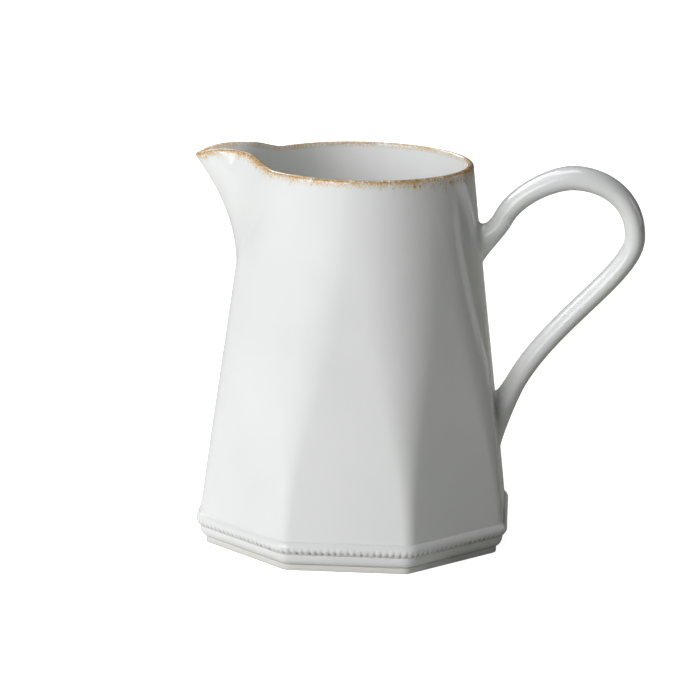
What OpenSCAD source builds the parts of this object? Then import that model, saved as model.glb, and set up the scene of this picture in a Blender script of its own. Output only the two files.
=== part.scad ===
// Porcelain cream jug: an eight-sided body that runs up into a round mouth, with a
// moulded bead band, a beak spout, an iron-brown edge and a looped strap handle.
// Origin: on the body's axis, at the level that the foot stands on.
// Handle towards +X, spout towards -X, +Z up. Millimetres.

/* [Body] */
// Height of the round rim above the table
rim_height = 112; // [98:1:135]
// Distance from the axis to the middle of a flat side, at the bottom of the wall
body_side = 44.5; // [40:0.1:54]
// Outer radius of the round mouth
mouth_radius = 32.3; // [27:0.1:38]
// Corner radius at the bottom of the wall
corner_radius = 5.2; // [3.6:0.2:10]
// How early the eight sides melt into the round mouth (higher is earlier)
melt_power = 3; // [1.6:0.1:4]
// Wall thickness at the rim
rim_wall = 2; // [1.4:0.1:2.5]
// Wall thickness at the bottom
foot_wall = 3.2; // [2.4:0.1:4]

/* [Foot and bead band] */
// Height of the bare standing ring
ring_height = 2; // [1.2:0.1:2.6]
// Width of the bare standing ring
ring_width = 4.6; // [3:0.2:5.4]
// How far the standing ring lies in from the bottom of the wall
ring_inset = 1.9; // [1.4:0.1:3.2]
// Height of the rounded moulding above the standing ring
moulding_height = 3.2; // [2.8:0.1:5]
// How far the top of the moulding lies in from the bottom of the wall
moulding_inset = 0.1; // [0:0.1:1.2]
// Height of the bead band
band_height = 3.9; // [3.4:0.1:6.5]
// How far the bead band stands out from the wall
band_proud = 1.2; // [0.8:0.1:2.2]
// Thickness of the floor inside the foot
floor_thick = 4; // [3:0.2:4.6]
// Depth of the hollow under the floor
recess_depth = 3; // [2:0.2:3.6]

/* [Spout] */
// Height at which the spout leaves the wall
spout_start = 80; // [66:1:86]
// How far the tip stands out from the round mouth
spout_reach = 16.5; // [10:0.1:19]
// Half of the angle over which the spout joins the mouth
lip_angle = 42; // [36:1:50]
// Half of the angle of the spout's lower end
spout_foot_angle = 6; // [4:0.5:7]
// Angle from the middle at which the lip has lost half of its reach
tongue_angle = 8.4; // [7:0.1:10]
// How far the lip rises above the rim
lip_rise = 3.3; // [0:0.1:5]
// How far the tip hangs below the highest part of the lip
tip_drop = 2.6; // [0:0.1:3.6]

/* [Brown edge] */
// Height of the iron-brown edge
edge_height = 1.6; // [1.2:0.1:2.6]

/* [Handle] */
// Width of the strap, across the jug
strap_width = 11; // [8:0.2:13]
// Thickness of the strap
strap_thick = 5.9; // [4.6:0.1:7]
// Share by which the strap is thicker at the top of its loop
loop_swell = 0.15; // [0:0.01:0.25]
// How far the strap's centre line stands out from the mouth at the outer bend
bend_reach = 47.5; // [40:0.5:56]
// Drop from the rim to the outer bend
bend_drop = 20.3; // [16:0.1:24]
// How far the top of the loop stands out from the mouth
loop_reach = 29.2; // [25:0.2:34]
// Drop from the rim to the strap's centre line at the top of the loop
loop_drop = 3.3; // [1:0.1:7]
// Height of the middle of the upper joint
upper_joint = 89; // [74:0.2:92]
// Height of the middle of the lower joint
lower_joint = 35.4; // [29:0.2:44]
// Distance from the wall to the end of the strap
strap_gap = 7.4; // [6:0.1:8.6]
// How far each joint spreads beyond the strap where it meets the wall
joint_spread = 2; // [1:0.1:3]

/* [Hidden] */
// Heights and side distances that the pieces share
moulding_top = ring_height + moulding_height;
wall_start = moulding_top + band_height;
floor_top = recess_depth + floor_thick;
ring_outer = body_side - ring_inset;
ring_inner = ring_outer - ring_width;

// Columns of the surfaces, as angles from the middle of the spout's side. They crowd
// towards the eight corners, and each corner has a column.
side_columns = [-22.5, -21.3, -20, -16.5, -11.5, -spout_foot_angle,
                0, spout_foot_angle, 11.5, 16.5, 20, 21.3];
columns = [for (side = [0:7]) for (s = side_columns) side * 45 + s];
foot_column = 7;               // the column at spout_foot_angle
squeeze_end = 90;              // columns up to this angle make room for the spout
lower_rows = 6;
upper_rows = 12;
lip_cells = 16;                // on each side of the spout's middle
crowding = 1.6;                // crowds the spout's columns towards its middle
foot_spread = 1.9;             // how fast the spout widens from its lower end
step = 0.01;                   // small angle used to find the direction of an outline

strap_points = 20;
strap_rings = 16;              // in each of the three curves of the strap
upper_lean = 64;               // slope of the strap where it leaves the upper joint
lower_lean = 61;               // and where it reaches the lower joint
strap_squareness = 2.3;        // 2 is an ellipse, higher is squarer
joint_rings = 7;
upper_joint_half = 6.7;        // half of the height of each joint on the wall
lower_joint_half = 10.2;
upper_start_rise = 7.4;        // from the middle of a joint up to the end of the strap
lower_start_rise = 13;

WHITE = [0.93, 0.93, 0.90];
BROWN = [0.48, 0.30, 0.17];
BISCUIT = [0.84, 0.78, 0.69];

// ---- The body's outline ----

// Share of the way up the wall, 0 at its bottom and 1 at the rim
function way_up(z) = max(0, (z - wall_start) / (rim_height - wall_start));

// Distance from the axis to the middle of a flat side
function side_at(z) = body_side + (mouth_radius - body_side) * way_up(z);

// Corner radius: it grows slowly, then fast, until the outline is a circle at the rim
function corner_at(z) = let (base = corner_radius / body_side, t = min(1, way_up(z)))
    side_at(z) * (base + (1 - base) * (1 - pow(1 - t * t, melt_power)));

// Corner radius of an outline that lies inside the bottom of the wall
function inset_corner(side) = max(0.6, corner_radius - (body_side - side));

function wall_at(z) = foot_wall + (rim_wall - foot_wall) * min(1, way_up(z));

// Distance from the axis to an eight-sided outline with rounded corners
function outline(angle, side, corner) =
    let (d = abs((angle + 382.5) % 45 - 22.5),
         centre = (side - corner) / cos(22.5),
         tangent = atan2((side - corner) * tan(22.5), side),
         off = centre * sin(22.5 - d))
    d <= tangent ? side / cos(d)
                 : centre * cos(22.5 - d) + sqrt(corner * corner - off * off);

// A point at a distance from the axis; angle 0 is the spout's side
function around(angle, distance, z) = [-distance * cos(angle), -distance * sin(angle), z];

// Unit vector that points into the wall, across the flat direction p to q
function inward(p, q) = let (t = q - p, n = [-t[1], t[0], 0]) n / norm(n);

function wall_point(angle, z) = around(angle, outline(angle, side_at(z), corner_at(z)), z);

function wall_inward(angle, z) = inward(wall_point(angle - step, z), wall_point(angle + step, z));

// ---- The spout ----

// Half of the angle that the spout covers, v is 0 at its lower end and 1 at the lip
function cover(v) =
    spout_foot_angle + (lip_angle - spout_foot_angle) * (1 - pow(1 - min(1, v), foot_spread));

function bell(x) = 1 / (1 + pow(x, 2.75));

// Share of the cover at which the spout has lost half of its reach
function tongue_share(v) = 0.5 + (tongue_angle / lip_angle - 0.5) * v * v;

// How far the spout stands out from the wall at a share u of its cover, -1 to 1
function proud(u, v) =
    let (share = tongue_share(v), edge = bell(1 / share))
    spout_reach * (0.75 * v * v + 0.25 * v) * (bell(abs(u) / share) - edge) / (1 - edge);

// Height of the lip: a smooth wave each side of the middle, and a tip that hangs
function lip_at(u) =
    let (crest = 9 / 42,
         wave = abs(u) <= crest ? 1 : pow(cos(90 * (abs(u) - crest) / (1 - crest)), 2),
         out = max(0, proud(u, 1) / spout_reach - 0.32) / 0.68)
    rim_height + lip_rise * wave - tip_drop * pow(out, 2.3);

function spout_height(u, v) = spout_start + v * (lip_at(u) - spout_start);

// A point of the spout's outer surface
function spout_point(u, v) =
    let (angle = u * cover(v), z = spout_height(u, v), wall_z = min(z, rim_height))
    around(angle, outline(angle, side_at(wall_z), corner_at(wall_z)) + proud(u, v), z);

function spout_inward(u, v) =
    abs(u) == 1 ? wall_inward(u * cover(v), min(spout_height(u, v), rim_height))
                : inward(spout_point(u - step, v), spout_point(u + step, v));

// Value of v where the brown edge starts, and on the way up it
function edge_v(u, share) = 1 - (1 - share) * edge_height / (lip_at(u) - spout_start);

lip_columns = [for (i = [-lip_cells:lip_cells]) sign(i) * pow(abs(i) / lip_cells, crowding)];

// ---- The wall's grid ----

// Columns beside the spout are squeezed to make room for it
function squeezed(column, v) =
    let (c = column > 180 ? column - 360 : column, a = abs(c))
    v <= 0 || a >= squeeze_end || a < spout_foot_angle ? column
    : column - c + sign(c) * (cover(v) + (squeeze_end - cover(v))
        * (a - spout_foot_angle) / (squeeze_end - spout_foot_angle));

wall_top_v = 1 - edge_height / (rim_height - spout_start);
wall_rows = concat(
    [for (i = [0:lower_rows]) (i / lower_rows - 1)],
    [for (i = [1:upper_rows]) wall_top_v * i / upper_rows]);

// Rows below 0 lie under the spout, and rows above 0 lie beside it
function row_height(v) = v <= 0 ? spout_start + v * (spout_start - wall_start)
                                : spout_start + v * (rim_height - spout_start);

// ---- Solids from grids of points ----

// A closed shell between an outer and an inner grid of points, rows by columns.
// skip lists the columns that are left out of the rows from skip_row up.
module shell(outer, inner, wraps, skip_row = 1e6, skip = []) {
    rows = len(outer);
    cols = len(outer[0]);
    last = wraps ? cols - 1 : cols - 2;
    there = function (r, c)
        r >= 0 && r <= rows - 2 && (wraps || (c >= 0 && c <= last))
        && !(r >= skip_row && len(search((c + cols) % cols, skip)) > 0);
    at = function (r, c) r * cols + (c + cols) % cols;
    inside = rows * cols;
    faces = [for (r = [0:rows - 2]) for (c = [0:last]) if (there(r, c))
        let (a = at(r, c), b = at(r, c + 1), d = at(r + 1, c), e = at(r + 1, c + 1),
             ai = a + inside, bi = b + inside, di = d + inside, ei = e + inside)
        each concat(
            [[a, d, e], [a, e, b], [ai, ei, di], [ai, bi, ei]],
            there(r - 1, c) ? [] : [[a, b, bi], [a, bi, ai]],
            there(r + 1, c) ? [] : [[d, di, ei], [d, ei, e]],
            there(r, c - 1) ? [] : [[a, ai, di], [a, di, d]],
            there(r, c + 1) ? [] : [[b, e, ei], [b, ei, bi]])];
    polyhedron(points = concat([for (row = outer) each row], [for (row = inner) each row]),
               faces = faces, convexity = 8);
}

// A closed ring: loops of points, each going all round, that follow a closed profile
module ring(loops) {
    rows = len(loops);
    cols = len(loops[0]);
    at = function (r, c) (r % rows) * cols + c % cols;
    polyhedron(points = [for (row = loops) each row],
               faces = [for (r = [0:rows - 1]) for (c = [0:cols - 1])
                   let (a = at(r, c), b = at(r, c + 1), d = at(r + 1, c), e = at(r + 1, c + 1))
                   each [[a, d, b], [b, d, e]]],
               convexity = 8);
}

// A closed bar through loops of points, with one flat face at the first loop and at the last
module bar(loops) {
    rows = len(loops);
    cols = len(loops[0]);
    at = function (r, c) r * cols + c % cols;
    polyhedron(points = [for (row = loops) each row],
               faces = concat(
                   [[for (c = [0:cols - 1]) c]],
                   [[for (c = [0:cols - 1]) at(rows - 1, cols - 1 - c)]],
                   [for (r = [0:rows - 2]) for (c = [0:cols - 1])
                       let (a = at(r, c), b = at(r, c + 1), d = at(r + 1, c), e = at(r + 1, c + 1))
                       each [[a, d, b], [b, d, e]]]),
               convexity = 6);
}

function eight_sided(side) =
    [for (c = columns) let (p = around(c, outline(c, side, inset_corner(side)), 0)) [p[0], p[1]]];

// One loop for each [side, height] of a profile
function foot_loops(profile) =
    [for (p = profile) [for (c = columns) around(c, outline(c, p[0], inset_corner(p[0])), p[1])]];

// ---- The strap ----

function curve(p, t) =
    pow(1 - t, 3) * p[0] + 3 * t * pow(1 - t, 2) * p[1] + 3 * t * t * (1 - t) * p[2]
    + pow(t, 3) * p[3];

function leaning(slope) = [cos(slope), 0, sin(slope)];

strap_top = [side_at(upper_joint + upper_start_rise) + strap_gap, 0, upper_joint + upper_start_rise];
loop_top = [mouth_radius + loop_reach, 0, rim_height - loop_drop];
outer_bend = [mouth_radius + bend_reach, 0, rim_height - bend_drop];
strap_foot = [side_at(lower_joint + lower_start_rise) + strap_gap, 0, lower_joint + lower_start_rise];
strap_curves = [
    [strap_top, strap_top + 7.7 * leaning(upper_lean), loop_top - [5.9, 0, 0], loop_top],
    [loop_top, loop_top + [9.8, 0, 0], outer_bend + [0, 0, 10.6], outer_bend],
    [outer_bend, outer_bend - [0, 0, 10.4], strap_foot + 21.6 * leaning(lower_lean), strap_foot]];

strap_line = concat(
    [for (s = strap_curves) for (i = [0:strap_rings - 1]) curve(s, i / strap_rings)], [strap_foot]);

function strap_direction(i) =
    let (n = len(strap_line) - 1)
    i == 0 ? leaning(upper_lean) : i == n ? -leaning(lower_lean)
    : let (d = strap_line[i + 1] - strap_line[i - 1]) d / norm(d);

// Thickness at a ring of the strap: it swells smoothly towards the top of the loop
function thick_at(i) = strap_thick * (1 + loop_swell * exp(-pow((i / strap_rings - 1) / 0.5, 2)));

// A rounded strap section around a point, across a direction in the XZ plane
function section(p, d, thick) =
    [for (i = [0:strap_points - 1])
        let (a = 360 * i / strap_points, power = 2 / strap_squareness,
             across = sign(cos(a)) * pow(abs(cos(a)), power) * thick / 2,
             side = sign(sin(a)) * pow(abs(sin(a)), power) * strap_width / 2)
        p + across * [-d[2], 0, d[0]] + [0, side, 0]];

// The handle side of the wall at height z, a distance y from the middle
function wall_face(y, z) =
    lookup(abs(y), [for (s = [0, spout_foot_angle, 11.5, 16.5, 20, 21.3, 22.5])
        let (r = outline(s, side_at(z), corner_at(z))) [r * sin(s), r * cos(s)]]);

// An oval on the wall, at a share of the joint's full size there
function wall_oval(middle, half, share) =
    [for (i = [0:strap_points - 1])
        let (a = 360 * i / strap_points, y = share * sin(a) * (strap_width / 2 + joint_spread),
             z = middle + share * cos(a) * half)
        [wall_face(y, z), y, z]];

// Loops that lie on the wall, then run from the largest oval up to the end of the strap
function joint_loops(middle, half, strap_end, slope, thick) =
    let (oval = wall_oval(middle, half, 1), centre = [wall_face(0, middle), 0, middle],
         end = section(strap_end, leaning(slope), thick))
    concat(
        [for (share = [0.45, 0.72]) wall_oval(middle, half, share)],
        [for (j = [0:joint_rings]) [for (i = [0:strap_points - 1])
            curve([oval[i], oval[i] + 0.3 * (centre - oval[i]), end[i] - 5 * leaning(slope), end[i]],
                  j / joint_rings)]]);

// ---- The pieces ----

// The cast wall: eight-sided at its bottom and round at the rim, open for the spout
module body_wall() {
    outer = [for (v = wall_rows) [for (c = columns) wall_point(squeezed(c, v), row_height(v))]];
    inner = [for (i = [0:len(wall_rows) - 1]) let (v = wall_rows[i], z = row_height(v))
        [for (j = [0:len(columns) - 1])
            outer[i][j] + wall_at(z) * wall_inward(squeezed(columns[j], v), z)]];
    color(WHITE) shell(outer, inner, true, lower_rows, [foot_column - 2, foot_column - 1]);
}

// The beak: its grid shares its border points with the wall
module spout() {
    rows = [for (j = [0:upper_rows]) j / upper_rows];
    outer = [for (s = rows) [for (u = lip_columns) spout_point(u, s * edge_v(u, 0))]];
    inner = [for (j = [0:upper_rows]) [for (i = [0:len(lip_columns) - 1])
        let (u = lip_columns[i], v = rows[j] * edge_v(u, 0))
        outer[j][i] + wall_at(spout_height(u, v)) * spout_inward(u, v)]];
    color(WHITE) shell(outer, inner, false);
}

// The brown edge follows the rim and the lip. Its profile gives, for each corner, the
// share of the wall's thickness and the share of the edge's height.
module brown_edge() {
    profile = [[0, 0], [0, 0.45], [0.14, 0.84], [0.5, 1], [0.86, 0.84], [1, 0.45], [1, 0]];
    beside = [for (c = columns) if (c > spout_foot_angle && c < 360 - spout_foot_angle) c];
    loops = [for (p = profile) concat(
        [for (u = lip_columns) let (v = edge_v(u, p[1]), z = spout_height(u, v))
            spout_point(u, v) + p[0] * wall_at(z) * spout_inward(u, v)],
        [for (c = beside) let (v = edge_v(1, p[1]), z = row_height(v), angle = squeezed(c, v))
            wall_point(angle, z) + p[0] * wall_at(z) * wall_inward(angle, z)])];
    color(BROWN) ring(loops);
}

// The floor plate, level with the inside of the foot
module floor() {
    color(WHITE) translate([0, 0, recess_depth])
        linear_extrude(floor_thick) polygon(eight_sided(ring_inner));
}

// The bare ring that the jug stands on
module foot_ring() {
    color(BISCUIT) linear_extrude(ring_height) difference() {
        polygon(eight_sided(ring_outer));
        polygon(eight_sided(ring_inner));
    }
}

// The rounded moulding between the standing ring and the bead band
module foot_moulding() {
    top = body_side - moulding_inset;
    steps = 5;
    outer = [for (i = [0:steps]) let (a = 90 * i / steps)
        [ring_outer + (top - ring_outer) * sin(a), ring_height + moulding_height * (1 - cos(a))]];
    color(WHITE) ring(foot_loops(concat(outer, [[ring_inner, moulding_top], [ring_inner, ring_height]])));
}

// The bead band: a ridge outside, and the hollow corner of the floor inside
module bead_band() {
    steps = 7;
    cove = 4;
    low = body_side - moulding_inset;
    inside = body_side - foot_wall;
    cove_start = max(floor_top, moulding_top + 0.2);
    outer = [for (i = [0:steps]) let (t = i / steps)
        [low + (body_side - low) * t + band_proud * pow(sin(180 * t), 0.8), moulding_top + band_height * t]];
    inner = [for (i = [cove:-1:0]) let (a = 90 * i / cove)
        [ring_inner + (inside - ring_inner) * sin(a), cove_start + (wall_start - cove_start) * (1 - cos(a))]];
    color(WHITE) ring(foot_loops(concat(outer, inner, [[ring_inner, moulding_top]])));
}

// The looped strap
module handle() {
    loops = [for (i = [0:len(strap_line) - 1]) section(strap_line[i], strap_direction(i), thick_at(i))];
    color(WHITE) bar(loops);
}

// The slip joints that spread from the strap's ends onto the wall
module upper_handle_joint() {
    color(WHITE) bar(joint_loops(upper_joint, upper_joint_half, strap_top, upper_lean, thick_at(0)));
}

module lower_handle_joint() {
    color(WHITE) bar(joint_loops(lower_joint, lower_joint_half, strap_foot, lower_lean,
                                   thick_at(3 * strap_rings)));
}

body_wall();
floor();
foot_ring();
foot_moulding();
bead_band();
spout();
brown_edge();
handle();
upper_handle_joint();
lower_handle_joint();
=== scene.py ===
# %% [markdown]
# # A porcelain cream jug
# The jug is slip-cast porcelain. An eight-sided body melts into a round mouth. A beak spout and
# a looped strap handle are luted on with slip, and a row of tiny beads runs above the foot. It
# has clear glaze all over and an iron-brown wash along the rim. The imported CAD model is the
# frame: it has every piece at its true size and place. This script replaces each faceted CAD
# solid with a smooth one of the same size, and gives it the glaze.

# %% Load the frame
import math

import bpy
import numpy as np
from mathutils import Matrix, Vector


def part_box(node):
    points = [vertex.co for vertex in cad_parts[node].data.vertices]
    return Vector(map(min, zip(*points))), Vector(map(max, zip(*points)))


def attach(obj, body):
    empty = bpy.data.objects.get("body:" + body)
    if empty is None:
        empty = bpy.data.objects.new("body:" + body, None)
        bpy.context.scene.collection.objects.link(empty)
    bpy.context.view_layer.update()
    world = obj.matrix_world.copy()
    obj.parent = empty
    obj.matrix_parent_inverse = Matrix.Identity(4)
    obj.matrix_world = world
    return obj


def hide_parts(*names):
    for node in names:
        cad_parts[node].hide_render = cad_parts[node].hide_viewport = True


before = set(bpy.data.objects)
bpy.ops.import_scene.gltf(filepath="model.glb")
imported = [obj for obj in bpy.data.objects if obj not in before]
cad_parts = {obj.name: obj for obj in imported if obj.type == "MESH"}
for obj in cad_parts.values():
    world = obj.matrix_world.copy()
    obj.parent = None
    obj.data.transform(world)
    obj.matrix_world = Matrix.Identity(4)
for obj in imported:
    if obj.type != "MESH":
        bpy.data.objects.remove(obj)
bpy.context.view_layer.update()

# %% [markdown]
# ## Sizes
# A potter works from a few heights and widths. They come from the frame's boxes, so the looks
# can't drift away from the CAD. The shape functions work in millimetres, because that is how the
# pieces are measured on the bench.

# %% Read the jug's sizes from the frame
MM = 0.001


def box_mm(node):
    """Lowest and highest corner of a CAD node, in millimetres."""
    return [np.array(corner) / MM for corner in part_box(node)]


wall_low, wall_high = box_mm("body_wall")
edge_low, edge_high = box_mm("brown_edge")
LIP_RISE = 3.3  # from the rim up to the crest of the spout's lip
EDGE_HEIGHT = 1.6  # how far down the brown edge reaches
rim_z = edge_high[2] - LIP_RISE
wall_z = wall_low[2]
body_side = wall_high[1]
mouth_radius = edge_high[0]
print(f"rim at {rim_z:.1f} mm, {2 * body_side:.1f} mm across the wall, mouth {2 * mouth_radius:.1f} mm")

# %% [markdown]
# ## The body's outline
# Cut level anywhere, the wall is an octagon with rounded corners. The corners grow until, at the
# rim, they are the whole outline and it is a circle. One formula covers both, so the sides melt
# into the round mouth with no seam. A subdivided cage could do it too, but the cage would need
# hand-placed loops at every corner, and its corner radius would only be roughly known.

# %% Outline functions
CORNER_RADIUS = 5.2
MELT_POWER = 3
RIM_WALL = 2.0
FOOT_WALL = 3.2
SMALLEST_CORNER = 0.6
EIGHTH = math.radians(22.5)  # half of the angle that one side takes up


def way_up(z):
    """Share of the way up the wall: 0 at its bottom, 1 at the rim."""
    return np.clip((z - wall_z) / (rim_z - wall_z), 0, 1)


def side_at(z):
    """Distance from the axis to the middle of a side: a straight taper."""
    return body_side + (mouth_radius - body_side) * way_up(z)


def corner_at(z):
    """Corner radius: the side distance times a share that grows from a ninth to the whole. It
    grows slowly at first: one minus the cube of one minus the square of the way up."""
    base = CORNER_RADIUS / body_side
    return side_at(z) * (base + (1 - base) * (1 - (1 - way_up(z) ** 2) ** MELT_POWER))


def inset_corner(side):
    """Corner radius of an outline that runs parallel to the bottom of the wall."""
    return np.maximum(SMALLEST_CORNER, CORNER_RADIUS - (body_side - side))


def outline(angle, side, corner):
    """Distance from the axis to a rounded octagon: side over the cosine of the angle along a
    flat, and a circle of the corner radius, centred inside the corner, past the tangent."""
    off = np.abs((angle + EIGHTH) % (2 * EIGHTH) - EIGHTH)
    centre = (side - corner) / math.cos(EIGHTH)
    tangent = np.arctan2((side - corner) * math.tan(EIGHTH), side)
    across = centre * np.sin(EIGHTH - off)
    arc = centre * np.cos(EIGHTH - off) + np.sqrt(np.maximum(corner**2 - across**2, 0))
    return np.where(off <= tangent, side / np.cos(off), arc)


def around(angle, distance, z):
    """Points at a distance from the axis. Angle 0 is the spout's side, and it grows towards -Y."""
    return np.stack(np.broadcast_arrays(-distance * np.cos(angle), -distance * np.sin(angle), z), -1)


def inward(surface, u, v, step=1e-4):
    """Level unit vectors that point into the wall: the surface's direction along u, turned left."""
    along = surface(u + step, v) - surface(u - step, v)
    turned = np.stack([-along[..., 1], along[..., 0], 0 * along[..., 0]], -1)
    return turned / np.linalg.norm(turned, axis=-1, keepdims=True)


def wall_point(angle, z):
    """The wall's outer surface."""
    return around(angle, outline(angle, side_at(z), corner_at(z)), z)


def wall_thickness(z):
    """The cast wall thins evenly from its bottom to the rim."""
    return FOOT_WALL + (RIM_WALL - FOOT_WALL) * way_up(z)


# %% [markdown]
# ## The spout's surface
# The beak was shaped by hand from a slab and luted over a hole in the wall. Its level cuts are
# bell-shaped bulges on the outline: narrow like a tongue at the lip, and broad and low further
# down. A bell has the rounded nose and the hollow flanks in one curve, where a loft would need a
# dozen drawn sections. The bell is cut off at the edge of the spout's cover, and that cut leaves
# the crease that shows where the slab meets the wall.

# %% Spout functions
SIDE_CELLS = 44  # columns on each side of the octagon
FOOT_CELLS = 3  # columns from the spout's middle to the edge of its lower end
CROWDING = 0.35  # how much closer the columns stand at a corner than on a flat
share = np.arange(-SIDE_CELLS // 2, SIDE_CELLS // 2) / (SIDE_CELLS / 2)
side_angles = EIGHTH * ((1 + CROWDING) * share - CROWDING * share**3)
columns = (np.arange(8)[:, None] * 2 * EIGHTH + side_angles).ravel()
middle = SIDE_CELLS // 2
foot_column = columns[middle + FOOT_CELLS]

LIP_ANGLE = math.radians(42)
TONGUE_ANGLE = math.radians(8.4)
LOW_BELL = 0.5  # half-width of the bell at the spout's lower end, as a share of the cover
FOOT_SPREAD = 1.9
TIP_REACH = 16.5
TIP_DROP = 2.6
TIP_FROM = 0.32  # share of the reach from which the tip hangs
CREST = 9 / 42  # share of the cover, each side of the middle, where the lip stays high
spout_z = box_mm("spout")[0][2]
print(f"the spout starts at {spout_z:.1f} mm, and the CAD tip is {-edge_low[0]:.1f} mm from the axis")


def cover(v):
    """Half of the angle that the spout covers: it widens fast, then more slowly."""
    return foot_column + (LIP_ANGLE - foot_column) * (1 - (1 - np.clip(v, 0, 1)) ** FOOT_SPREAD)


def bell(x):
    """A bell: 1 in the middle, a half where x is 1, with a flatter top than a Gaussian."""
    return 1 / (1 + np.abs(x) ** 2.75)


def proud(u, v):
    """How far the spout stands out from the wall, at a share u of its cover and v of its height:
    a bell across it, brought down to nothing at its edges, times a rise that steepens upwards."""
    share = LOW_BELL + (TONGUE_ANGLE / LIP_ANGLE - LOW_BELL) * v**2
    edge = bell(1 / share)
    rise = TIP_REACH * (0.75 * v**2 + 0.25 * v)
    return rise * np.maximum(0, bell(u / share) - edge) / (1 - edge)


def lip_height(u):
    """Height of the lip: half a cosine wave down each side of the crest, and a tip that hangs."""
    fall = np.clip((np.abs(u) - CREST) / (1 - CREST), 0, 1)
    out = np.clip((proud(u, 1.0) / TIP_REACH - TIP_FROM) / (1 - TIP_FROM), 0, 1)
    return rim_z + LIP_RISE * np.cos(fall * math.pi / 2) ** 2 - TIP_DROP * out**2.3


def spout_height(u, v):
    """Rows run evenly from the spout's lower end up to the lip."""
    return spout_z + v * (lip_height(u) - spout_z)


def spout_point(u, v):
    """The spout's outer surface: the wall's outline plus the bulge."""
    z = spout_height(u, v)
    angle = u * cover(v)
    level = np.minimum(z, rim_z)
    return around(angle, outline(angle, side_at(level), corner_at(level)) + proud(u, v), z)


def spout_inward(u, v):
    """As inward(), but along the spout's edges it is the wall's own direction, so that the two
    pieces share their border inside as well as outside."""
    z = np.minimum(spout_height(u, v), rim_z)
    side = inward(wall_point, u * cover(v), z)
    return np.where(np.abs(u)[..., None] > 0.9999, side, inward(spout_point, u, v))


def edge_v(u, share):
    """The height share v, a given share of the way up the brown edge."""
    return 1 - (1 - share) * EDGE_HEIGHT / (lip_height(u) - spout_z)


# %% [markdown]
# ## Meshes from grids
# Every piece is a grid of points, rows by columns, worked out as one array. The faces follow
# from the grid's shape alone, so array arithmetic gives them too. Edges sharper than the limit
# stay crisp, such as the step of the foot, and all the others are shaded smooth.

# %% Mesh helpers
SHARP_ANGLE = math.radians(38)


def quads(rows, cols, wrap_rows, wrap_cols):
    """Corner numbers of each grid cell, anticlockwise seen from outside when the columns run
    anticlockwise and the rows run up the outside."""
    r, c = np.mgrid[0 : rows if wrap_rows else rows - 1, 0 : cols if wrap_cols else cols - 1]
    r2, c2 = (r + 1) % rows, (c + 1) % cols
    return np.stack([r * cols + c, r * cols + c2, r2 * cols + c2, r2 * cols + c], -1)


def make_piece(name, points_mm, faces, material, replaces, values=None):
    """A smooth mesh that rides on the jug and stands for its CAD nodes."""
    mesh = bpy.data.meshes.new(name)
    mesh.from_pydata((np.reshape(points_mm, (-1, 3)) * MM).tolist(), [], [list(f) for f in faces])
    for key, value in (values or {}).items():
        attribute = mesh.attributes.new(key, "FLOAT", "POINT")
        attribute.data.foreach_set("value", np.ravel(value).astype(np.float32))
    mesh.polygons.foreach_set("use_smooth", np.ones(len(mesh.polygons), bool))
    mesh.set_sharp_from_angle(angle=SHARP_ANGLE)
    mesh.materials.append(material)
    piece = bpy.data.objects.new(name, mesh)
    bpy.context.scene.collection.objects.link(piece)
    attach(piece, "root")
    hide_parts(*replaces)
    size = np.ptp(np.reshape(points_mm, (-1, 3)), axis=0)
    print(f"{name}: {len(faces)} faces, {size.round(1).tolist()} mm")


def shell_faces(keep, wraps):
    """Faces of a closed wall between an outer grid and an inner one of the same size. keep says
    which cells are there; a side face closes each edge where the next cell is missing."""
    rows, cells = keep.shape
    cols = cells if wraps else cells + 1
    outer = quads(rows + 1, cols, False, wraps)
    inner = outer + (rows + 1) * cols
    a, b, e, d = np.moveaxis(outer, -1, 0)
    ai, bi, ei, di = np.moveaxis(inner, -1, 0)
    pad = np.pad(keep, 1)
    if wraps:
        pad[1:-1, 0], pad[1:-1, -1] = keep[:, -1], keep[:, 0]
    below, above = pad[:-2, 1:-1], pad[2:, 1:-1]
    left, right = pad[1:-1, :-2], pad[1:-1, 2:]
    sides = [(keep, (a, b, e, d)), (keep, (ai, di, ei, bi)),
             (keep & ~below, (a, ai, bi, b)), (keep & ~above, (d, e, ei, di)),
             (keep & ~left, (a, d, di, ai)), (keep & ~right, (b, bi, ei, e))]
    return np.concatenate([np.stack(corners, -1)[where] for where, corners in sides])


def ring_faces(rows, cols):
    """Faces of a closed ring: the profile closes on itself, and so does the way round."""
    return quads(rows, cols, True, True).reshape(-1, 4)


# %% [markdown]
# ## Building a material
# A material is a small graph: patterns feed colours, and colours feed the shader. One function
# turns a hex colour, as a potter's chart gives it, into the linear light that Blender mixes.
# Another adds a node, sets its fields and links its inputs in one go. The rest are the few
# steps that every glaze needs.

# %% Material helpers
def linear(code):
    """An sRGB hex colour as linear red, green and blue, with full opacity."""
    s = np.array([int(code[i : i + 2], 16) for i in (1, 3, 5)]) / 255
    return (*np.where(s <= 0.04045, s / 12.92, ((s + 0.055) / 1.055) ** 2.4).tolist(), 1.0)


def add_node(tree, kind, links=None, sockets=None, **settings):
    """Adds a node, sets its fields and its sockets, links its inputs, and gives back the node.
    A link's source is a socket, or a node whose first output is meant."""
    node = tree.nodes.new(kind)
    for key, value in settings.items():
        setattr(node, key, value)
    for key, value in (sockets or {}).items():
        node.inputs[key].default_value = value
    for key, source in (links or {}).items():
        tree.links.new(getattr(source, "outputs", [source])[0], node.inputs[key])
    return node


def new_material(name):
    """An empty material and its node tree."""
    material = bpy.data.materials.new(name)
    material.use_nodes = True
    material.node_tree.nodes.clear()
    return material, material.node_tree


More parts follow.
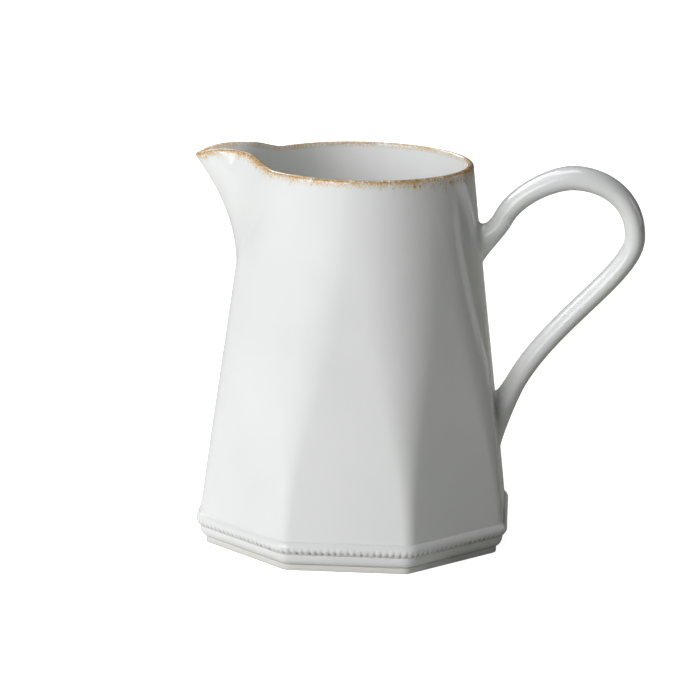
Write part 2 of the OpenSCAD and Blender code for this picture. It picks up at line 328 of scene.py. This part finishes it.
def pattern(tree, size_mm, stretch=(1, 1, 1), detail=2.0, rough=0.5):
    """Soft noise whose blobs are about size_mm across, longer along an axis where stretch is < 1."""
    place = add_node(tree, "ShaderNodeTexCoord").outputs["Object"]
    place = add_node(tree, "ShaderNodeMapping", {"Vector": place}, {"Scale": stretch})
    return add_node(tree, "ShaderNodeTexNoise", {"Vector": place},
                    {"Scale": 1 / (size_mm * MM), "Detail": detail, "Roughness": rough})


def remap(tree, value, low, high, to_low=0.0, to_high=1.0):
    """Carries the range low to high over to another range, and stops at its ends."""
    return add_node(tree, "ShaderNodeMapRange", {"Value": value},
                    {"From Min": low, "From Max": high, "To Min": to_low, "To Max": to_high})


def blended(tree, amount, under, over):
    """Two colours, hex or sockets, mixed by an amount from 0 (under) to 1 (over)."""
    node = add_node(tree, "ShaderNodeMix", {0: amount}, data_type="RGBA")
    for key, colour in ((6, under), (7, over)):
        if isinstance(colour, str):
            node.inputs[key].default_value = linear(colour)
        else:
            tree.links.new(colour, node.inputs[key])
    return node.outputs[2]


def attribute(tree, name):
    """A value that make_piece stored at the points."""
    return add_node(tree, "ShaderNodeAttribute", attribute_name=name).outputs["Fac"]


def arithmetic(tree, operation, a, b):
    """A Math node with two inputs, each a number or a socket."""
    node = add_node(tree, "ShaderNodeMath", operation=operation)
    for socket, source in zip(node.inputs, (a, b)):
        if isinstance(source, (int, float)):
            socket.default_value = source
        else:
            tree.links.new(getattr(source, "outputs", [source])[0], socket)
    return node.outputs[0]


# %% [markdown]
# ## Clear glaze on porcelain
# Hard-paste porcelain is fired white, under a clear feldspar glaze with an index of about 1.5.
# The kiln pulls the melt smooth and glossy, yet never flat: it keeps a soft ripple about a
# centimetre wide from the hand and the mould, and a fine orange peel. A clear coat over a rough
# base would be the physical picture, but one glossy layer looks the same and renders faster.

# %% Gloss and white ground
GLAZE_INDEX = 1.5
RIPPLE_SIZE, RIPPLE_DEPTH = 11.0, 0.05 * MM
PEEL_SIZE, PEEL_DEPTH = 1.4, 0.0025 * MM
GLOSS = (0.09, 0.16)  # the roughness drifts between these


def glazed(tree, colour, peel=1.0):
    """The gloss and the relief of the glaze, over a colour."""
    ripple = add_node(tree, "ShaderNodeBump", {"Height": pattern(tree, RIPPLE_SIZE, detail=1.0)},
                      {"Distance": RIPPLE_DEPTH, "Strength": 1.0})
    fine = pattern(tree, PEEL_SIZE, detail=1.0)
    skin = add_node(tree, "ShaderNodeBump", {"Height": fine, "Normal": ripple},
                    {"Distance": PEEL_DEPTH * peel, "Strength": 1.0})
    gloss = remap(tree, pattern(tree, 6.0), 0.3, 0.7, *GLOSS)
    return add_node(tree, "ShaderNodeBsdfPrincipled",
                    {"Base Color": colour, "Roughness": gloss, "Normal": skin}, {"IOR": GLAZE_INDEX})


def white_ground(tree):
    """White porcelain under clear glaze: it hardly varies, a little greyer where it is thick."""
    return blended(tree, remap(tree, pattern(tree, 35.0), 0.35, 0.65), "#F2F3EF", "#EEF0EB")


# %% [markdown]
# ## Iron
# An iron-oxide wash is brushed along the rim, and the glaze melts through it. Iron gives the rim
# its warm colours: cream where it is thin, honey, then brown where it is thick. A few streaks run
# down from the edge. The pits between the beads get a brown painted shade, and the glaze goes
# beige where it is pulled thin over a step.

# %% Iron wash and clear glaze
# The second colour is painted shade: a brown tint laid in the pits between the beads.
THIN_GLAZE, PIT_SHADE = "#D3CBBB", "#9C8458"
IRON_COLOURS = ((0.1, "#E0D2B0"), (0.4, "#CDAA76"), (0.72, "#AB824F"), (1.0, "#7A5B39"))


def iron_tint(tree, strength, under):
    """Iron wash over a colour, from cream where it is thin to dark brown where it is thick.
    Specks of half a millimetre and a drift of a few millimetres break it up."""
    specks = remap(tree, pattern(tree, 0.5, detail=3.0), 0.3, 0.7, -0.8, 0.8)
    drift = remap(tree, pattern(tree, 4.0), 0.3, 0.7, -0.4, 0.4)
    rough = arithmetic(tree, "ADD", arithmetic(tree, "ADD", specks, drift), 1.0)
    amount = arithmetic(tree, "MULTIPLY", strength, rough)
    ramp = add_node(tree, "ShaderNodeValToRGB", {"Fac": amount})
    stops = ramp.color_ramp.elements
    stops.remove(stops[1])
    for place, code in IRON_COLOURS:
        stops.new(place).color = linear(code)
    stops.remove(stops[0])  # a ramp is never empty, so its own first stop goes last
    cover = remap(tree, amount, 0.02, 0.26)
    return blended(tree, cover, under, ramp.outputs["Color"])


def clear_glaze():
    """Clear feldspar glaze on slip-cast porcelain: white, with a deep, soft-edged gloss."""
    material, tree = new_material("clear_glazed_porcelain")
    streaks = remap(tree, pattern(tree, 1.1, stretch=(1, 1, 0.15), detail=2.0), 0.42, 0.75)
    run = arithmetic(tree, "MULTIPLY", attribute(tree, "run"), streaks)
    iron = arithmetic(tree, "MAXIMUM", attribute(tree, "iron"), run)
    thin = blended(tree, attribute(tree, "thin"), white_ground(tree), THIN_GLAZE)
    # Painted shade: the pits between the beads are tinted brown, in patches.
    patchy = remap(tree, pattern(tree, 2.5), 0.35, 0.65, 0.2, 0.9)
    pit = arithmetic(tree, "MULTIPLY", attribute(tree, "pit"), patchy)
    pit_shaded = blended(tree, pit, thin, PIT_SHADE)
    shader = glazed(tree, iron_tint(tree, iron, pit_shaded))
    add_node(tree, "ShaderNodeOutputMaterial", {"Surface": shader})
    return material


# %% [markdown]
# ## The brown edge and the bare ring
# The edge has the same gloss with a coarser peel, since the wash lies thick there. The standing
# ring is glazed down its sides and wiped bare underneath, so that it doesn't stick to the kiln
# shelf. Bare porcelain is matt and slightly sandy.

# %% Edge and ring materials
STOP_LINE = "#B5A892"
SANDY_DARK, SANDY_PALE = "#CFC3B0", "#E0D7C8"
GLAZED_ROUGHNESS, SANDY_ROUGHNESS = 0.13, 0.8


def iron_wash():
    """Iron oxide brushed on the rim under the clear glaze, glossy and broken up by the fire."""
    material, tree = new_material("iron_brown_wash")
    shader = glazed(tree, iron_tint(tree, attribute(tree, "iron"), white_ground(tree)), peel=2.0)
    add_node(tree, "ShaderNodeOutputMaterial", {"Surface": shader})
    return material


def wiped_biscuit():
    """Porcelain glazed above the line where bare is 0 and wiped bare below it, matt and sandy,
    with a beige line where the glaze stops."""
    material, tree = new_material("bare_biscuit_porcelain")
    bare = attribute(tree, "bare")
    grain = pattern(tree, 0.25, detail=3.0)
    clay = blended(tree, grain.outputs[0], SANDY_DARK, SANDY_PALE)
    thin = blended(tree, attribute(tree, "thin"), white_ground(tree), STOP_LINE)
    colour = blended(tree, bare, thin, clay)
    relief = add_node(tree, "ShaderNodeBump", {"Height": grain}, {"Distance": 0.02 * MM, "Strength": 0.8})
    rough = remap(tree, bare, 0.0, 1.0, GLAZED_ROUGHNESS, SANDY_ROUGHNESS)
    shader = add_node(tree, "ShaderNodeBsdfPrincipled",
                      {"Base Color": colour, "Roughness": rough, "Normal": relief}, {"IOR": GLAZE_INDEX})
    add_node(tree, "ShaderNodeOutputMaterial", {"Surface": shader})
    return material


glaze, brown, biscuit = clear_glaze(), iron_wash(), wiped_biscuit()
print("materials:", [material.name for material in bpy.data.materials])

# %% [markdown]
# ## Where the iron lies
# The brush left a thin film just below the brown edge, and the melt drew runs down from it. They
# are longest on either side of the handle, where the brush was full. A hump is a soft stain of a
# known width, and the steps of the foot and the strap use it too.

# %% Iron below the edge
FILM, FILM_REACH = 0.16, 0.4  # strength of the thin film, and the height in which it fades
RUN, FULL_RUN, RUN_REACH = 0.32, 0.5, 0.9
FULL_BRUSH, BRUSH_WIDTH = math.radians(150), math.radians(32)


def hump(x, centre, width):
    """A soft hump: e to the minus square of the distance from its centre over its width."""
    return np.exp(-(((x - centre) / width) ** 2))


def wash_below(height, top, angle):
    """The iron below the brown edge, on the outer surface and none on the inner. A thin film
    fades within half a millimetre. Runs reach further, and furthest where the brush was full."""
    below = np.maximum(0, top - height)
    full = hump(np.abs(angle), FULL_BRUSH, BRUSH_WIDTH)
    runs = (RUN + FULL_RUN * full) * np.exp(-below / (RUN_REACH * (1 + full)))
    film = FILM * np.exp(-below / FILM_REACH)
    return {"run": np.stack([runs, 0 * runs]), "iron": np.stack([film, 0 * film])}


print(f"runs fade over {RUN_REACH} to {2 * RUN_REACH} mm, and the film over {FILM_REACH} mm")

# %% [markdown]
# ## The wall
# The wall is cast in a plaster mould: the mould shapes the outside, and the slip's thickness
# shapes the inside. Its grid crowds towards the eight corners, where the surface turns fastest,
# and leaves a gap for the spout. Both pieces share the border of that gap, inside and outside.

# %% Build the wall
LOWER_ROWS = 46
UPPER_ROWS = 60
top_v = 1 - EDGE_HEIGHT / (rim_z - spout_z)
rows_v = np.concatenate([np.linspace(-1, 0, LOWER_ROWS + 1), np.linspace(0, top_v, UPPER_ROWS + 1)[1:]])


def row_height(v):
    """Rows below 0 lie under the spout, and rows above 0 lie beside it."""
    return spout_z + v * np.where(v <= 0, spout_z - wall_z, rim_z - spout_z)


def squeezed(column, v):
    """Columns beside the spout make room for it: they are spread evenly again between the edge
    of its cover and a quarter turn."""
    turn = (column + math.pi) % (2 * math.pi) - math.pi
    away = np.abs(turn)
    spread = cover(v) + (math.pi / 2 - cover(v)) * (away - foot_column) / (math.pi / 2 - foot_column)
    move = (v > 0) & (away < math.pi / 2) & (away >= foot_column - 1e-9)
    return np.where(move, np.sign(turn) * spread, turn)


v = rows_v[:, None]
z = row_height(v) + 0 * columns
angle = squeezed(columns, v)
outer = wall_point(angle, z)
inner = outer + wall_thickness(z)[..., None] * inward(wall_point, angle, z)
keep = np.ones((len(rows_v) - 1, len(columns)), bool)
keep[LOWER_ROWS:, middle - FOOT_CELLS : middle + FOOT_CELLS] = False
make_piece("glazed_wall", np.stack([outer, inner]), shell_faces(keep, True), glaze,
           ["body_wall"], wash_below(z, row_height(rows_v[-1]), angle))

# %% [markdown]
# ## The spout
# The slab of the beak has the wall's thickness and takes the same glaze. Its columns crowd
# towards the middle, where the tongue is narrow.

# %% Build the spout
LIP_CELLS = 110
across = np.linspace(-1, 1, LIP_CELLS + 1)
lip_columns = np.sign(across) * np.abs(across) ** 1.5
share_up = np.linspace(0, 1, UPPER_ROWS + 1)[:, None]
u = lip_columns + 0 * share_up
v = share_up * edge_v(u, 0)
outer = spout_point(u, v)
inner = outer + wall_thickness(spout_height(u, v))[..., None] * spout_inward(u, v)
make_piece("glazed_spout", np.stack([outer, inner]),
           shell_faces(np.ones((UPPER_ROWS, LIP_CELLS), bool), False), glaze, ["spout"],
           wash_below(outer[..., 2], spout_height(u, edge_v(u, 0)), u * cover(v)))

# %% [markdown]
# ## The brown edge
# The rim was rounded with a sponge and brushed with iron wash. Its section is a half oval on two
# short straight sides, swept along the lip and on round the rim, so both sides meet the wall
# with no step. The wash is strongest on the outer crest, where the brush pressed.

# %% Build the brown edge
ROUND_POINTS = 11
turn = np.linspace(0, math.pi, ROUND_POINTS)
profile = np.array([(0, 0), (0, 0.25), *zip((1 - np.cos(turn)) / 2, 0.45 + 0.55 * np.sin(turn)),
                    (1, 0.25), (1, 0)])
depth, height = profile[:, :1], profile[:, 1:]
u = lip_columns + 0 * depth
v = edge_v(u, height)
lip = spout_point(u, v) + (depth * wall_thickness(spout_height(u, v)))[..., None] * spout_inward(u, v)
beside = np.delete(columns, np.arange(middle - FOOT_CELLS, middle + FOOT_CELLS + 1))
beside = np.roll(beside, -(middle - FOOT_CELLS))
v = edge_v(1.0, height)
z = row_height(v) + 0 * beside
angle = squeezed(beside, v)
rim = wall_point(angle, z) + (depth * wall_thickness(z))[..., None] * inward(wall_point, angle, z)
points = np.concatenate([lip, rim], axis=1)
over = np.interp(depth, [0, 0.1, 0.3, 0.55, 0.85, 1], [0.36, 0.54, 0.48, 0.34, 0.28, 0.2])
climb = 0.3 + 0.7 * height  # weak at the lower border, and full on the crest
iron = over * climb + 0 * points[..., 0]
make_piece("iron_brown_edge", points, ring_faces(*points.shape[:2]), brown,
           ["brown_edge"], {"iron": iron})

# %% [markdown]
# ## The standing ring
# The mould gives the foot its steps. Each is a profile swept round the wall's octagon at a
# distance. The lowest is the standing ring. The sponge that wiped its glaze off also rounded its
# edges. The glaze is thin, so beige, just above the wiped line and again at the step on top.

# %% Build the standing ring
ring_outer, ring_top = box_mm("foot_ring")[1][1:]
floor_low, floor_high = box_mm("floor")
ring_inner = floor_high[1]
EDGE_ROUND, INNER_ROUND = 0.3, 0.5
WIPED_TO, WIPE_BLUR = 0.14, 0.1
LINE_HEIGHT, LINE_BLUR = 0.25, 0.2  # the beige line just above the wiped part
STEP_BLUR = 0.3
THINNING = 0.35


def foot_ring(profile, angles):
    """Loops that follow a profile of side distances and heights, all round the foot."""
    side, height = np.array(profile, float).T[..., None]
    return around(angles, outline(angles, side, inset_corner(side)), height + 0 * angles)


def arc(centre_side, centre_z, radius, start, stop, count):
    """Profile points along a circular fillet, angles in degrees, 0 outwards and 90 upwards."""
    a = np.radians(np.linspace(start, stop, count))
    return [*zip(centre_side + radius * np.cos(a), centre_z + radius * np.sin(a))]


ring_profile = [*arc(ring_outer - EDGE_ROUND, EDGE_ROUND, EDGE_ROUND, -90, 0, 6),
                *arc(ring_outer - EDGE_ROUND, ring_top - EDGE_ROUND, EDGE_ROUND, 0, 90, 5),
                (ring_inner, ring_top),
                *arc(ring_inner + INNER_ROUND, INNER_ROUND, INNER_ROUND, 180, 270, 6)]
points = foot_ring(ring_profile, columns)
height = points[..., 2]
bare = np.clip((WIPED_TO - height) / WIPE_BLUR, 0, 1)
thin = THINNING * (hump(height, LINE_HEIGHT, LINE_BLUR) + hump(height, ring_top, STEP_BLUR))
make_piece("bare_standing_ring", points, ring_faces(*points.shape[:2]), biscuit,
           ["foot_ring"], {"bare": bare, "thin": np.clip(thin, 0, 1)})

# %% [markdown]
# ## The moulding
# Over the ring is a small moulding. Its side goes from the ring to the band in a quarter of an
# oval, and the glaze is thin along its lower edge.

# %% Build the moulding
bulge = np.radians(np.linspace(0, 90, 13))
mould_side, mould_top = box_mm("foot_moulding")[1][1:]
mould_profile = [*zip(ring_outer + (mould_side - ring_outer) * np.sin(bulge),
                      ring_top + (mould_top - ring_top) * (1 - np.cos(bulge))),
                 (ring_inner, mould_top), (ring_inner, ring_top)]
points = foot_ring(mould_profile, columns)
thin = 0.6 * hump(points[..., 2], ring_top, STEP_BLUR)
make_piece("foot_moulding_ring", points, ring_faces(*points.shape[:2]), glaze,
           ["foot_moulding"], {"thin": thin})

# %% [markdown]
# ## The floor
# The slip closes the bottom of the mould with a flat plate. Its loops go out along the underside
# and back along the top, and one face closes each middle.

# %% Build the floor
FLOOR_RINGS = 16
spread = ring_inner * np.linspace(0.04, 1, FLOOR_RINGS)
floor_profile = [*zip(spread, floor_low[2] + 0 * spread), *zip(spread[::-1], floor_high[2] + 0 * spread)]
points = foot_ring(floor_profile, columns)
first = np.arange(len(columns))
last = first + (len(floor_profile) - 1) * len(columns)
faces = quads(*points.shape[:2], False, True).reshape(-1, 4).tolist()
make_piece("floor_plate", points, faces + [first[::-1].tolist(), last.tolist()], glaze,
           ["floor"])

# %% [markdown]
# ## The bead band
# Above the moulding is a ridge whose lower half is cut into a row of beads like grains of rice.
# The cuts are real relief: the ridge loses depth between the beads, so they catch light from any
# side. Bump alone would look flat along the outline. The beads are spaced by length along the
# octagon, as a roller would press them, and inside, the same piece holds the hollow corner
# between the floor and the wall.

# %% Build the bead band
BEADS = 160
BEAD_COLUMNS = 10
BEAD_DEPTH = 0.28
BAND_PROUD = 1.2
# The brown in the pits is painted shade, low on the ridge and between the beads.
PIT_AT, PIT_HEIGHT = 0.16, 0.13  # middle and reach of the brown pits, as shares of the height
band_top = box_mm("bead_band")[1][2]

fine = np.linspace(-math.pi, math.pi, 4001)  # enough to measure the length of the octagon
walk = around(fine, outline(fine, body_side, CORNER_RADIUS), 0)
length = np.append(0, np.cumsum(np.linalg.norm(np.diff(walk, axis=0), axis=1)))
bead_share = np.arange(BEADS * BEAD_COLUMNS) / (BEADS * BEAD_COLUMNS)
bead_angles = np.interp(bead_share * length[-1], length, fine)


def band_side(t):
    """The ridge's profile without beads: a share t of the way up, from the moulding to the wall."""
    return mould_side + (body_side - mould_side) * t + BAND_PROUD * np.sin(math.pi * t) ** 0.8


def between(share):
    """0 on the crown of a bead and 1 in the pit between two: the fourth power of a sine, which
    keeps the crowns broad and the pits narrow."""
    return np.sin(math.pi * share * BEADS) ** 4


def bead_fade(t):
    """How deep the beads are cut at a share t of the ridge's height: full from a tenth to a
    quarter of it, then less and less, and gone at three quarters."""
    return np.clip(t / 0.1, 0, 1) * np.clip((0.75 - t) / 0.5, 0, 1) ** 1.4


t = np.linspace(0, 1, 21)[:, None]
cut = BEAD_DEPTH * bead_fade(t) * between(bead_share)
side = band_side(t) - cut
outer = around(bead_angles, outline(bead_angles, side, inset_corner(side)),
               mould_top + (band_top - mould_top) * t + 0 * cut)
cove = np.radians(np.linspace(90, 0, 7))
wall_inside = body_side - FOOT_WALL
cove_profile = [*zip(ring_inner + (wall_inside - ring_inner) * np.sin(cove),
                     floor_high[2] + (band_top - floor_high[2]) * (1 - np.cos(cove))),
                (ring_inner, mould_top)]
inner = foot_ring(cove_profile, bead_angles)
# Painted shade in the pits: strongest low on the ridge, between the beads.
pit_shade = hump(t, PIT_AT, PIT_HEIGHT) * between(bead_share)
pit_shade = np.concatenate([pit_shade, np.zeros(inner.shape[:2])])
points = np.concatenate([outer, inner])
make_piece("beaded_band", points, ring_faces(*points.shape[:2]), glaze,
           ["bead_band"], {"pit": pit_shade})
print(f"{BEADS} beads, {length[-1] / BEADS:.2f} mm apart")

# %% [markdown]
# ## The strap's section
# A strap of clay was rolled flat and its edges smoothed, so its section lies between an ellipse
# and a rounded bar. A superellipse gives that with one number. The strap is thickest at the top
# of the loop, where the bend pushed the clay together.

# %% Strap functions
STRAP_WIDTH = 11
STRAP_THICK = 5.9
LOOP_SWELL = 0.15
SQUARENESS = 2.3
STRAP_POINTS = 48
round_strap = np.linspace(0, 2 * math.pi, STRAP_POINTS, endpoint=False)


def curve(a, b, c, d, t):
    """A cubic curve from a to d, that leaves towards b and arrives from c."""
    t = np.asarray(t)[:, None]
    return (1 - t) ** 3 * a + 3 * t * (1 - t) ** 2 * b + 3 * t**2 * (1 - t) * c + t**3 * d


def section(place, along, way):
    """The strap's rounded section round each place, square to the direction along the strap. way
    counts the curves: 0 and 3 at the ends, and 1 at the top of the loop, where it is thickest."""
    a, power = round_strap, 2 / SQUARENESS
    swell = 1 + LOOP_SWELL * hump(np.asarray(way, float)[..., None], 1, 0.5)
    thick = np.sign(np.cos(a)) * np.abs(np.cos(a)) ** power * STRAP_THICK / 2 * swell
    wide = np.sign(np.sin(a)) * np.abs(np.sin(a)) ** power * STRAP_WIDTH / 2
    turned = np.stack([-along[..., 2], 0 * along[..., 0], along[..., 0]], -1)
    return place[..., None, :] + thick[..., None] * turned[..., None, :] + wide[:, None] * np.array([0, 1, 0])


def bar_faces(rows, cols):
    """Faces of a closed bar: quads along it and one face at each end."""
    faces = quads(rows, cols, False, True).reshape(-1, 4)[:, ::-1].tolist()
    return faces + [np.arange(cols).tolist(), (np.arange(cols)[::-1] + (rows - 1) * cols).tolist()]


# %% [markdown]
# ## The strap
# The strap was bent into a loop before it dried. It runs along three smooth curves: up from the
# upper joint to the top of the loop, round the outer bend, and down to the lower joint. Each
# curve starts in the direction in which the one before it ends. How far it keeps to a direction
# sets how round it is.

# %% Build the strap
STRAP_RINGS = 44
STRAP_GAP = 7.4  # between the wall and the strap's ends, where the slip joints are
UPPER_HALF, LOWER_HALF = 6.7, 10.2  # half heights of the joints' feet on the wall
UPPER_RISE, LOWER_RISE = 7.4, 13.0  # from the middle of a foot up to the strap's end
UPPER_LEAN, LOWER_LEAN = math.radians(64), math.radians(61)
TOP_OUT, TOP_DROP = 29.2, 3.3  # the top of the loop, from the rim
BEND_OUT, BEND_DROP = 47.5, 20.3  # the outermost place of the loop, from the rim
PULLS = ((7.7, 5.9), (9.8, 10.6), (10.4, 21.6))  # how far each curve keeps to its end directions


def end_of_strap(z):
    """Where the strap starts, at a height: a gap away from the wall."""
    return np.array([side_at(z) + STRAP_GAP, 0, z])


def leaning(slope):
    """The direction that rises from +X at an angle."""
    return np.array([math.cos(slope), 0, math.sin(slope)])


upper_middle = box_mm("upper_handle_joint")[0][2] + UPPER_HALF
lower_middle = box_mm("lower_handle_joint")[0][2] + LOWER_HALF
strap_top = end_of_strap(upper_middle + UPPER_RISE)
strap_foot = end_of_strap(lower_middle + LOWER_RISE)
loop_top = np.array([mouth_radius + TOP_OUT, 0, rim_z - TOP_DROP])
outer_bend = np.array([mouth_radius + BEND_OUT, 0, rim_z - BEND_DROP])
places = [strap_top, loop_top, outer_bend, strap_foot]
headings = [leaning(UPPER_LEAN), np.array([1, 0, 0]), np.array([0, 0, -1]), -leaning(LOWER_LEAN)]
steps = np.arange(STRAP_RINGS) / STRAP_RINGS
curves = [curve(a, a + leave * from_a, b - arrive * to_b, b, steps)
          for a, b, from_a, to_b, (leave, arrive)
          in zip(places, places[1:], headings, headings[1:], PULLS)]
line = np.concatenate([*curves, strap_foot[None]])
along = np.gradient(line, axis=0)
along[0], along[-1] = headings[0], headings[-1]
along /= np.linalg.norm(along, axis=1, keepdims=True)
points = section(line, along, np.arange(len(line)) / STRAP_RINGS)
make_piece("looped_strap", points, bar_faces(*points.shape[:2]), glaze, ["handle"])
print("strap ends at", strap_top.round(1).tolist(), strap_foot.round(1).tolist())

# %% [markdown]
# ## The slip joints
# Slip was wiped round each end of the strap with a wet finger, which leaves a flare. It starts
# flat on the wall, as an oval, and ends along the strap. A curve with those two directions at its
# ends gives just that, so each point of the oval has one.

# %% Build the slip joints
JOINT_RINGS = 22
JOINT_SPREAD = 2.0  # how much wider than the strap an oval is, on each side
FLAT_SHARE = 0.3  # share of the way to the oval's middle in which the flare stays on the wall
STRAIGHT_END = 5  # length in which the flare keeps to the strap's direction


def handle_wall(y, z):
    """The wall on the handle's side, at a distance y from the middle: flat, then its corner."""
    corner = corner_at(z)
    past = np.maximum(0, np.abs(y) - (side_at(z) - corner) * math.tan(EIGHTH))
    return side_at(z) - corner + np.sqrt(np.maximum(0, corner**2 - past**2))


def build_joint(name, middle_z, half, strap_end, slope, way, node):
    """A flare from an oval on the wall to the end of the strap."""
    wide, tall = np.sin(round_strap) * (STRAP_WIDTH / 2 + JOINT_SPREAD), np.cos(round_strap) * half
    centre = np.array([handle_wall(0, middle_z), 0, middle_z])

    def oval(share):
        z = middle_z + share * tall
        return np.stack([handle_wall(share * wide, z), share * wide, z], -1)

    foot, end = oval(1.0), section(strap_end, leaning(slope), way)
    t = np.linspace(0, 1, JOINT_RINGS)
    corners = [foot, foot + FLAT_SHARE * (centre - foot), end - STRAIGHT_END * leaning(slope), end]
    flare = curve(*(p.reshape(1, -1) for p in corners), t)
    points = np.concatenate([[oval(0.3), oval(0.65)], flare.reshape(JOINT_RINGS, STRAP_POINTS, 3)])
    make_piece(name, points, bar_faces(*points.shape[:2]), glaze, [node])


build_joint("upper_slip_joint", upper_middle, UPPER_HALF, strap_top, UPPER_LEAN, 0, "upper_handle_joint")
build_joint("lower_slip_joint", lower_middle, LOWER_HALF, strap_foot, LOWER_LEAN, 3, "lower_handle_joint")

# %% [markdown]
# ## The camera
# A long lens a metre away, a little above the rim. At that distance the jug keeps its true
# proportions, and the mouth still shows as a flat ellipse.

# %% Camera
def place_camera(azimuth, elevation, roll, distance, aim_right, aim_up, lens):
    """Puts the camera at a distance from an aim point, turned about the jug by azimuth and
    elevation, and rolled about its own line of sight. Angles in degrees, lengths in mm."""
    a, e, r = (math.radians(x) for x in (azimuth, elevation, roll))
    right = Vector((math.cos(a), math.sin(a), 0))
    back = Vector((math.sin(a) * math.cos(e), -math.cos(a) * math.cos(e), math.sin(e)))
    up = back.cross(right)
    across = right * math.cos(r) + up * math.sin(r)
    upright = up * math.cos(r) - right * math.sin(r)
    place = (right * aim_right + Vector((0, 0, aim_up)) + back * distance) * MM
    data = bpy.data.cameras.new("studio_camera")
    data.lens, data.sensor_width = lens, 36
    camera = bpy.data.objects.new("studio_camera", data)
    turn = Matrix((across, upright, back)).transposed().to_4x4()
    camera.matrix_world = Matrix.Translation(place) @ turn
    bpy.context.scene.collection.objects.link(camera)
    bpy.context.scene.camera = camera
    print(f"camera {lens} mm, {distance} mm away")


place_camera(azimuth=2.9, elevation=13.6, roll=1.23, distance=991, aim_right=-2.3, aim_up=55.2, lens=173)

# %% [markdown]
# ## The light
# Porcelain is shown by one broad, soft box from the left and little from the right, so that its
# sides part from each other and the glaze gives long, quiet highlights. A box behind on the left
# and one nearly overhead light the inside of the mouth, the rims and the handle. A weak one on
# the right keeps that side from going flat.

# %% Lights
LIGHT_DISTANCE = 1.1
JUG_MIDDLE = 60 * MM


def add_light(name, azimuth, elevation, width, height, watts, colour="#FAF9FF"):
    """A soft box that faces the jug's middle. Azimuth 0 is the camera's side, and it grows to the
    right, seen from the camera."""
    a, e = math.radians(azimuth), math.radians(elevation)
    away = Vector((math.sin(a) * math.cos(e), -math.cos(a) * math.cos(e), math.sin(e)))
    data = bpy.data.lights.new(name, "AREA")
    data.shape, data.size, data.size_y, data.energy = "RECTANGLE", width, height, watts
    data.color = linear(colour)[:3]
    light = bpy.data.objects.new(name, data)
    turn = away.to_track_quat("Z", "Y").to_matrix().to_4x4()
    light.matrix_world = Matrix.Translation(Vector((0, 0, JUG_MIDDLE)) + away * LIGHT_DISTANCE) @ turn
    bpy.context.scene.collection.objects.link(light)
    print(f"{name}: {watts} W")


add_light("big_soft_box", azimuth=-38, elevation=25, width=1.0, height=0.75, watts=11.6)
add_light("back_soft_box", azimuth=-150, elevation=35, width=0.5, height=0.5, watts=5.2)
add_light("top_soft_box", azimuth=-170, elevation=68, width=0.5, height=0.5, watts=3.0)
add_light("right_soft_box", azimuth=115, elevation=15, width=0.5, height=0.5, watts=1.1)

# %% [markdown]
# ## The table
# The jug stands on white paper, and to its right a grey card holds back the bounce, so that the
# lower right of the body stays darker. The eye sees both as plain white, so the camera gets some
# glow from them that the jug doesn't get. One sheet with a gradient would need a texture to do
# the same.

# %% Table and surroundings
SHEET_REACH = 3
CARD_START = 30 * MM
GLOW = 0.95


def seen_as(tree, true_surface, seen_surface, kind):
    """Light from the surface is one thing for the jug, and another for the camera's own rays."""
    eye = add_node(tree, "ShaderNodeLightPath").outputs["Is Camera Ray"]
    mixed = add_node(tree, "ShaderNodeMixShader", {0: eye, 1: true_surface, 2: seen_surface})
    add_node(tree, kind, {"Surface": mixed})


def sheet(name, left, right, colour):
    """A flat sheet on the table, between two distances to the right of the jug's axis."""
    near, far = -SHEET_REACH, 2 * SHEET_REACH
    mesh = bpy.data.meshes.new(name)
    mesh.from_pydata([(left, near, 0), (right, near, 0), (right, far, 0), (left, far, 0)], [], [(0, 1, 2, 3)])
    piece = bpy.data.objects.new(name, mesh)
    bpy.context.scene.collection.objects.link(piece)
    material, tree = new_material(name)
    plain = add_node(tree, "ShaderNodeBsdfDiffuse", sockets={"Color": linear(colour)})
    glow = add_node(tree, "ShaderNodeEmission", sockets={"Color": linear("#FFFFFF"), "Strength": GLOW})
    seen = add_node(tree, "ShaderNodeAddShader", {0: plain, 1: glow})
    seen_as(tree, plain, seen, "ShaderNodeOutputMaterial")
    mesh.materials.append(material)
    print(f"{name}: from {left:.2f} to {right:.2f} m")


sheet("white_paper", -SHEET_REACH, CARD_START, "#D3D5CF")
sheet("grey_card", CARD_START, SHEET_REACH, "#A0A298")

world = bpy.data.worlds.new("studio")
bpy.context.scene.world = world
world.use_nodes = True
tree = world.node_tree
tree.nodes.clear()
dim = add_node(tree, "ShaderNodeBackground", sockets={"Color": linear("#F4F6F2"), "Strength": 0.012})
pale = add_node(tree, "ShaderNodeBackground", sockets={"Color": linear("#F8F8F8"), "Strength": 1.0})
seen_as(tree, dim, pale, "ShaderNodeOutputWorld")
bpy.context.scene.view_settings.view_transform = "Standard"
